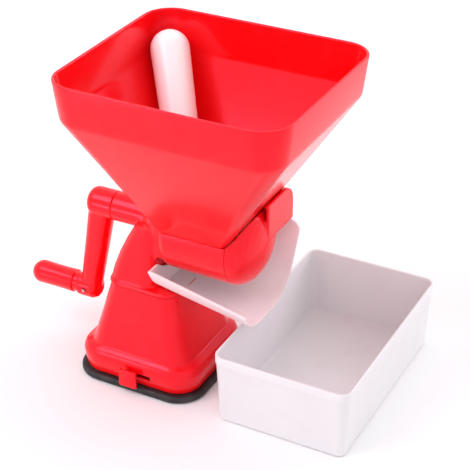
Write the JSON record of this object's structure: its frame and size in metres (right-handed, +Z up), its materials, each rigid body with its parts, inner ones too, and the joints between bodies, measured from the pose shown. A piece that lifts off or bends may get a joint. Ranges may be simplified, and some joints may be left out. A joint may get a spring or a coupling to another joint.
{
  "type": "food mill",
  "caption": "Hand-cranked table-top food mill with a large funnel, a strainer drum with a paddle rotor, a chute, a loose collecting container, a pusher and a suction foot.",
  "frame": {"origin": "middle of the suction foot, on the table", "axes": "+X along the crank shaft from the crank to the chute's mouth, +Y to the back, +Z up"},
  "size_m": [0.3623, 0.2459, 0.3195],
  "materials": {
    "red_shell": "gloss",
    "white_plastic": "gloss",
    "rubber": "satin",
    "steel": "satin",
    "inner_plastic": "satin"
  },
  "bodies": {
    "stand": {"suction_pad": "rubber", "base_shell": "red_shell", "housing": "red_shell", "housing_screw_1": "steel", "housing_screw_2": "steel", "housing_screw_3": "steel", "housing_screw_4": "steel", "strainer": "steel", "shaft_bush": "inner_plastic", "shaft_seal": "rubber"},
    "lever": {"suction_lever": "red_shell"},
    "stud": {"draw_stud": "steel"},
    "crank": {"crank_arm": "red_shell", "crank_screw": "steel", "grip_spindle": "steel", "retaining_pin": "steel", "drive_shaft": "steel", "paddle_rotor": "inner_plastic"},
    "grip": {"crank_grip": "red_shell"},
    "cap": {"end_cap": "red_shell", "end_bush": "inner_plastic"},
    "funnel": {"hopper": "red_shell"},
    "pusher_rod": {"pusher": "white_plastic"},
    "scoop": {"chute": "white_plastic"},
    "tray": {"container": "white_plastic"}
  },
  "joints": [
    {"name": "crank_turn", "type": "hinge", "parent": "stand", "child": "crank", "pos_m": [0, 0, 0.1574], "axis": [1, 0, 0], "continuous": true},
    {"name": "grip_spin", "type": "hinge", "parent": "crank", "child": "grip", "pos_m": [-0.115, 0, 0.0604], "axis": [1, 0, 0], "continuous": true},
    {"name": "lever_swing", "type": "hinge", "parent": "stand", "child": "lever", "pos_m": [0, 0, 0.019], "axis": [0, 0, 1], "range_deg": [0, 12.5]},
    {"name": "stud_lift", "type": "slide", "parent": "stand", "child": "stud", "axis": [0, 0, 1], "range_m": [0, 0.00159]},
    {"name": "cap_off", "type": "slide", "parent": "stand", "child": "cap", "axis": [1, 0, 0], "range_m": [0, 0.05]},
    {"name": "hopper_off", "type": "slide", "parent": "stand", "child": "funnel", "axis": [0, 0, 1], "range_m": [0, 0.06]},
    {"name": "pusher_lift", "type": "slide", "parent": "funnel", "child": "pusher_rod", "axis": [0, 0, 1], "range_m": [0, 0.15]},
    {"name": "chute_off", "type": "slide", "parent": "stand", "child": "scoop", "axis": [1, 0, 0], "range_m": [0, 0.08]},
    {"name": "container_off", "type": "slide", "parent": "stand", "child": "tray", "axis": [1, 0, 0], "range_m": [0, 0.15]}
  ],
  "couplings": [
    {"joint": "lever_swing", "follows": "stud_lift", "rad_per_m": 136.99}
  ]
}
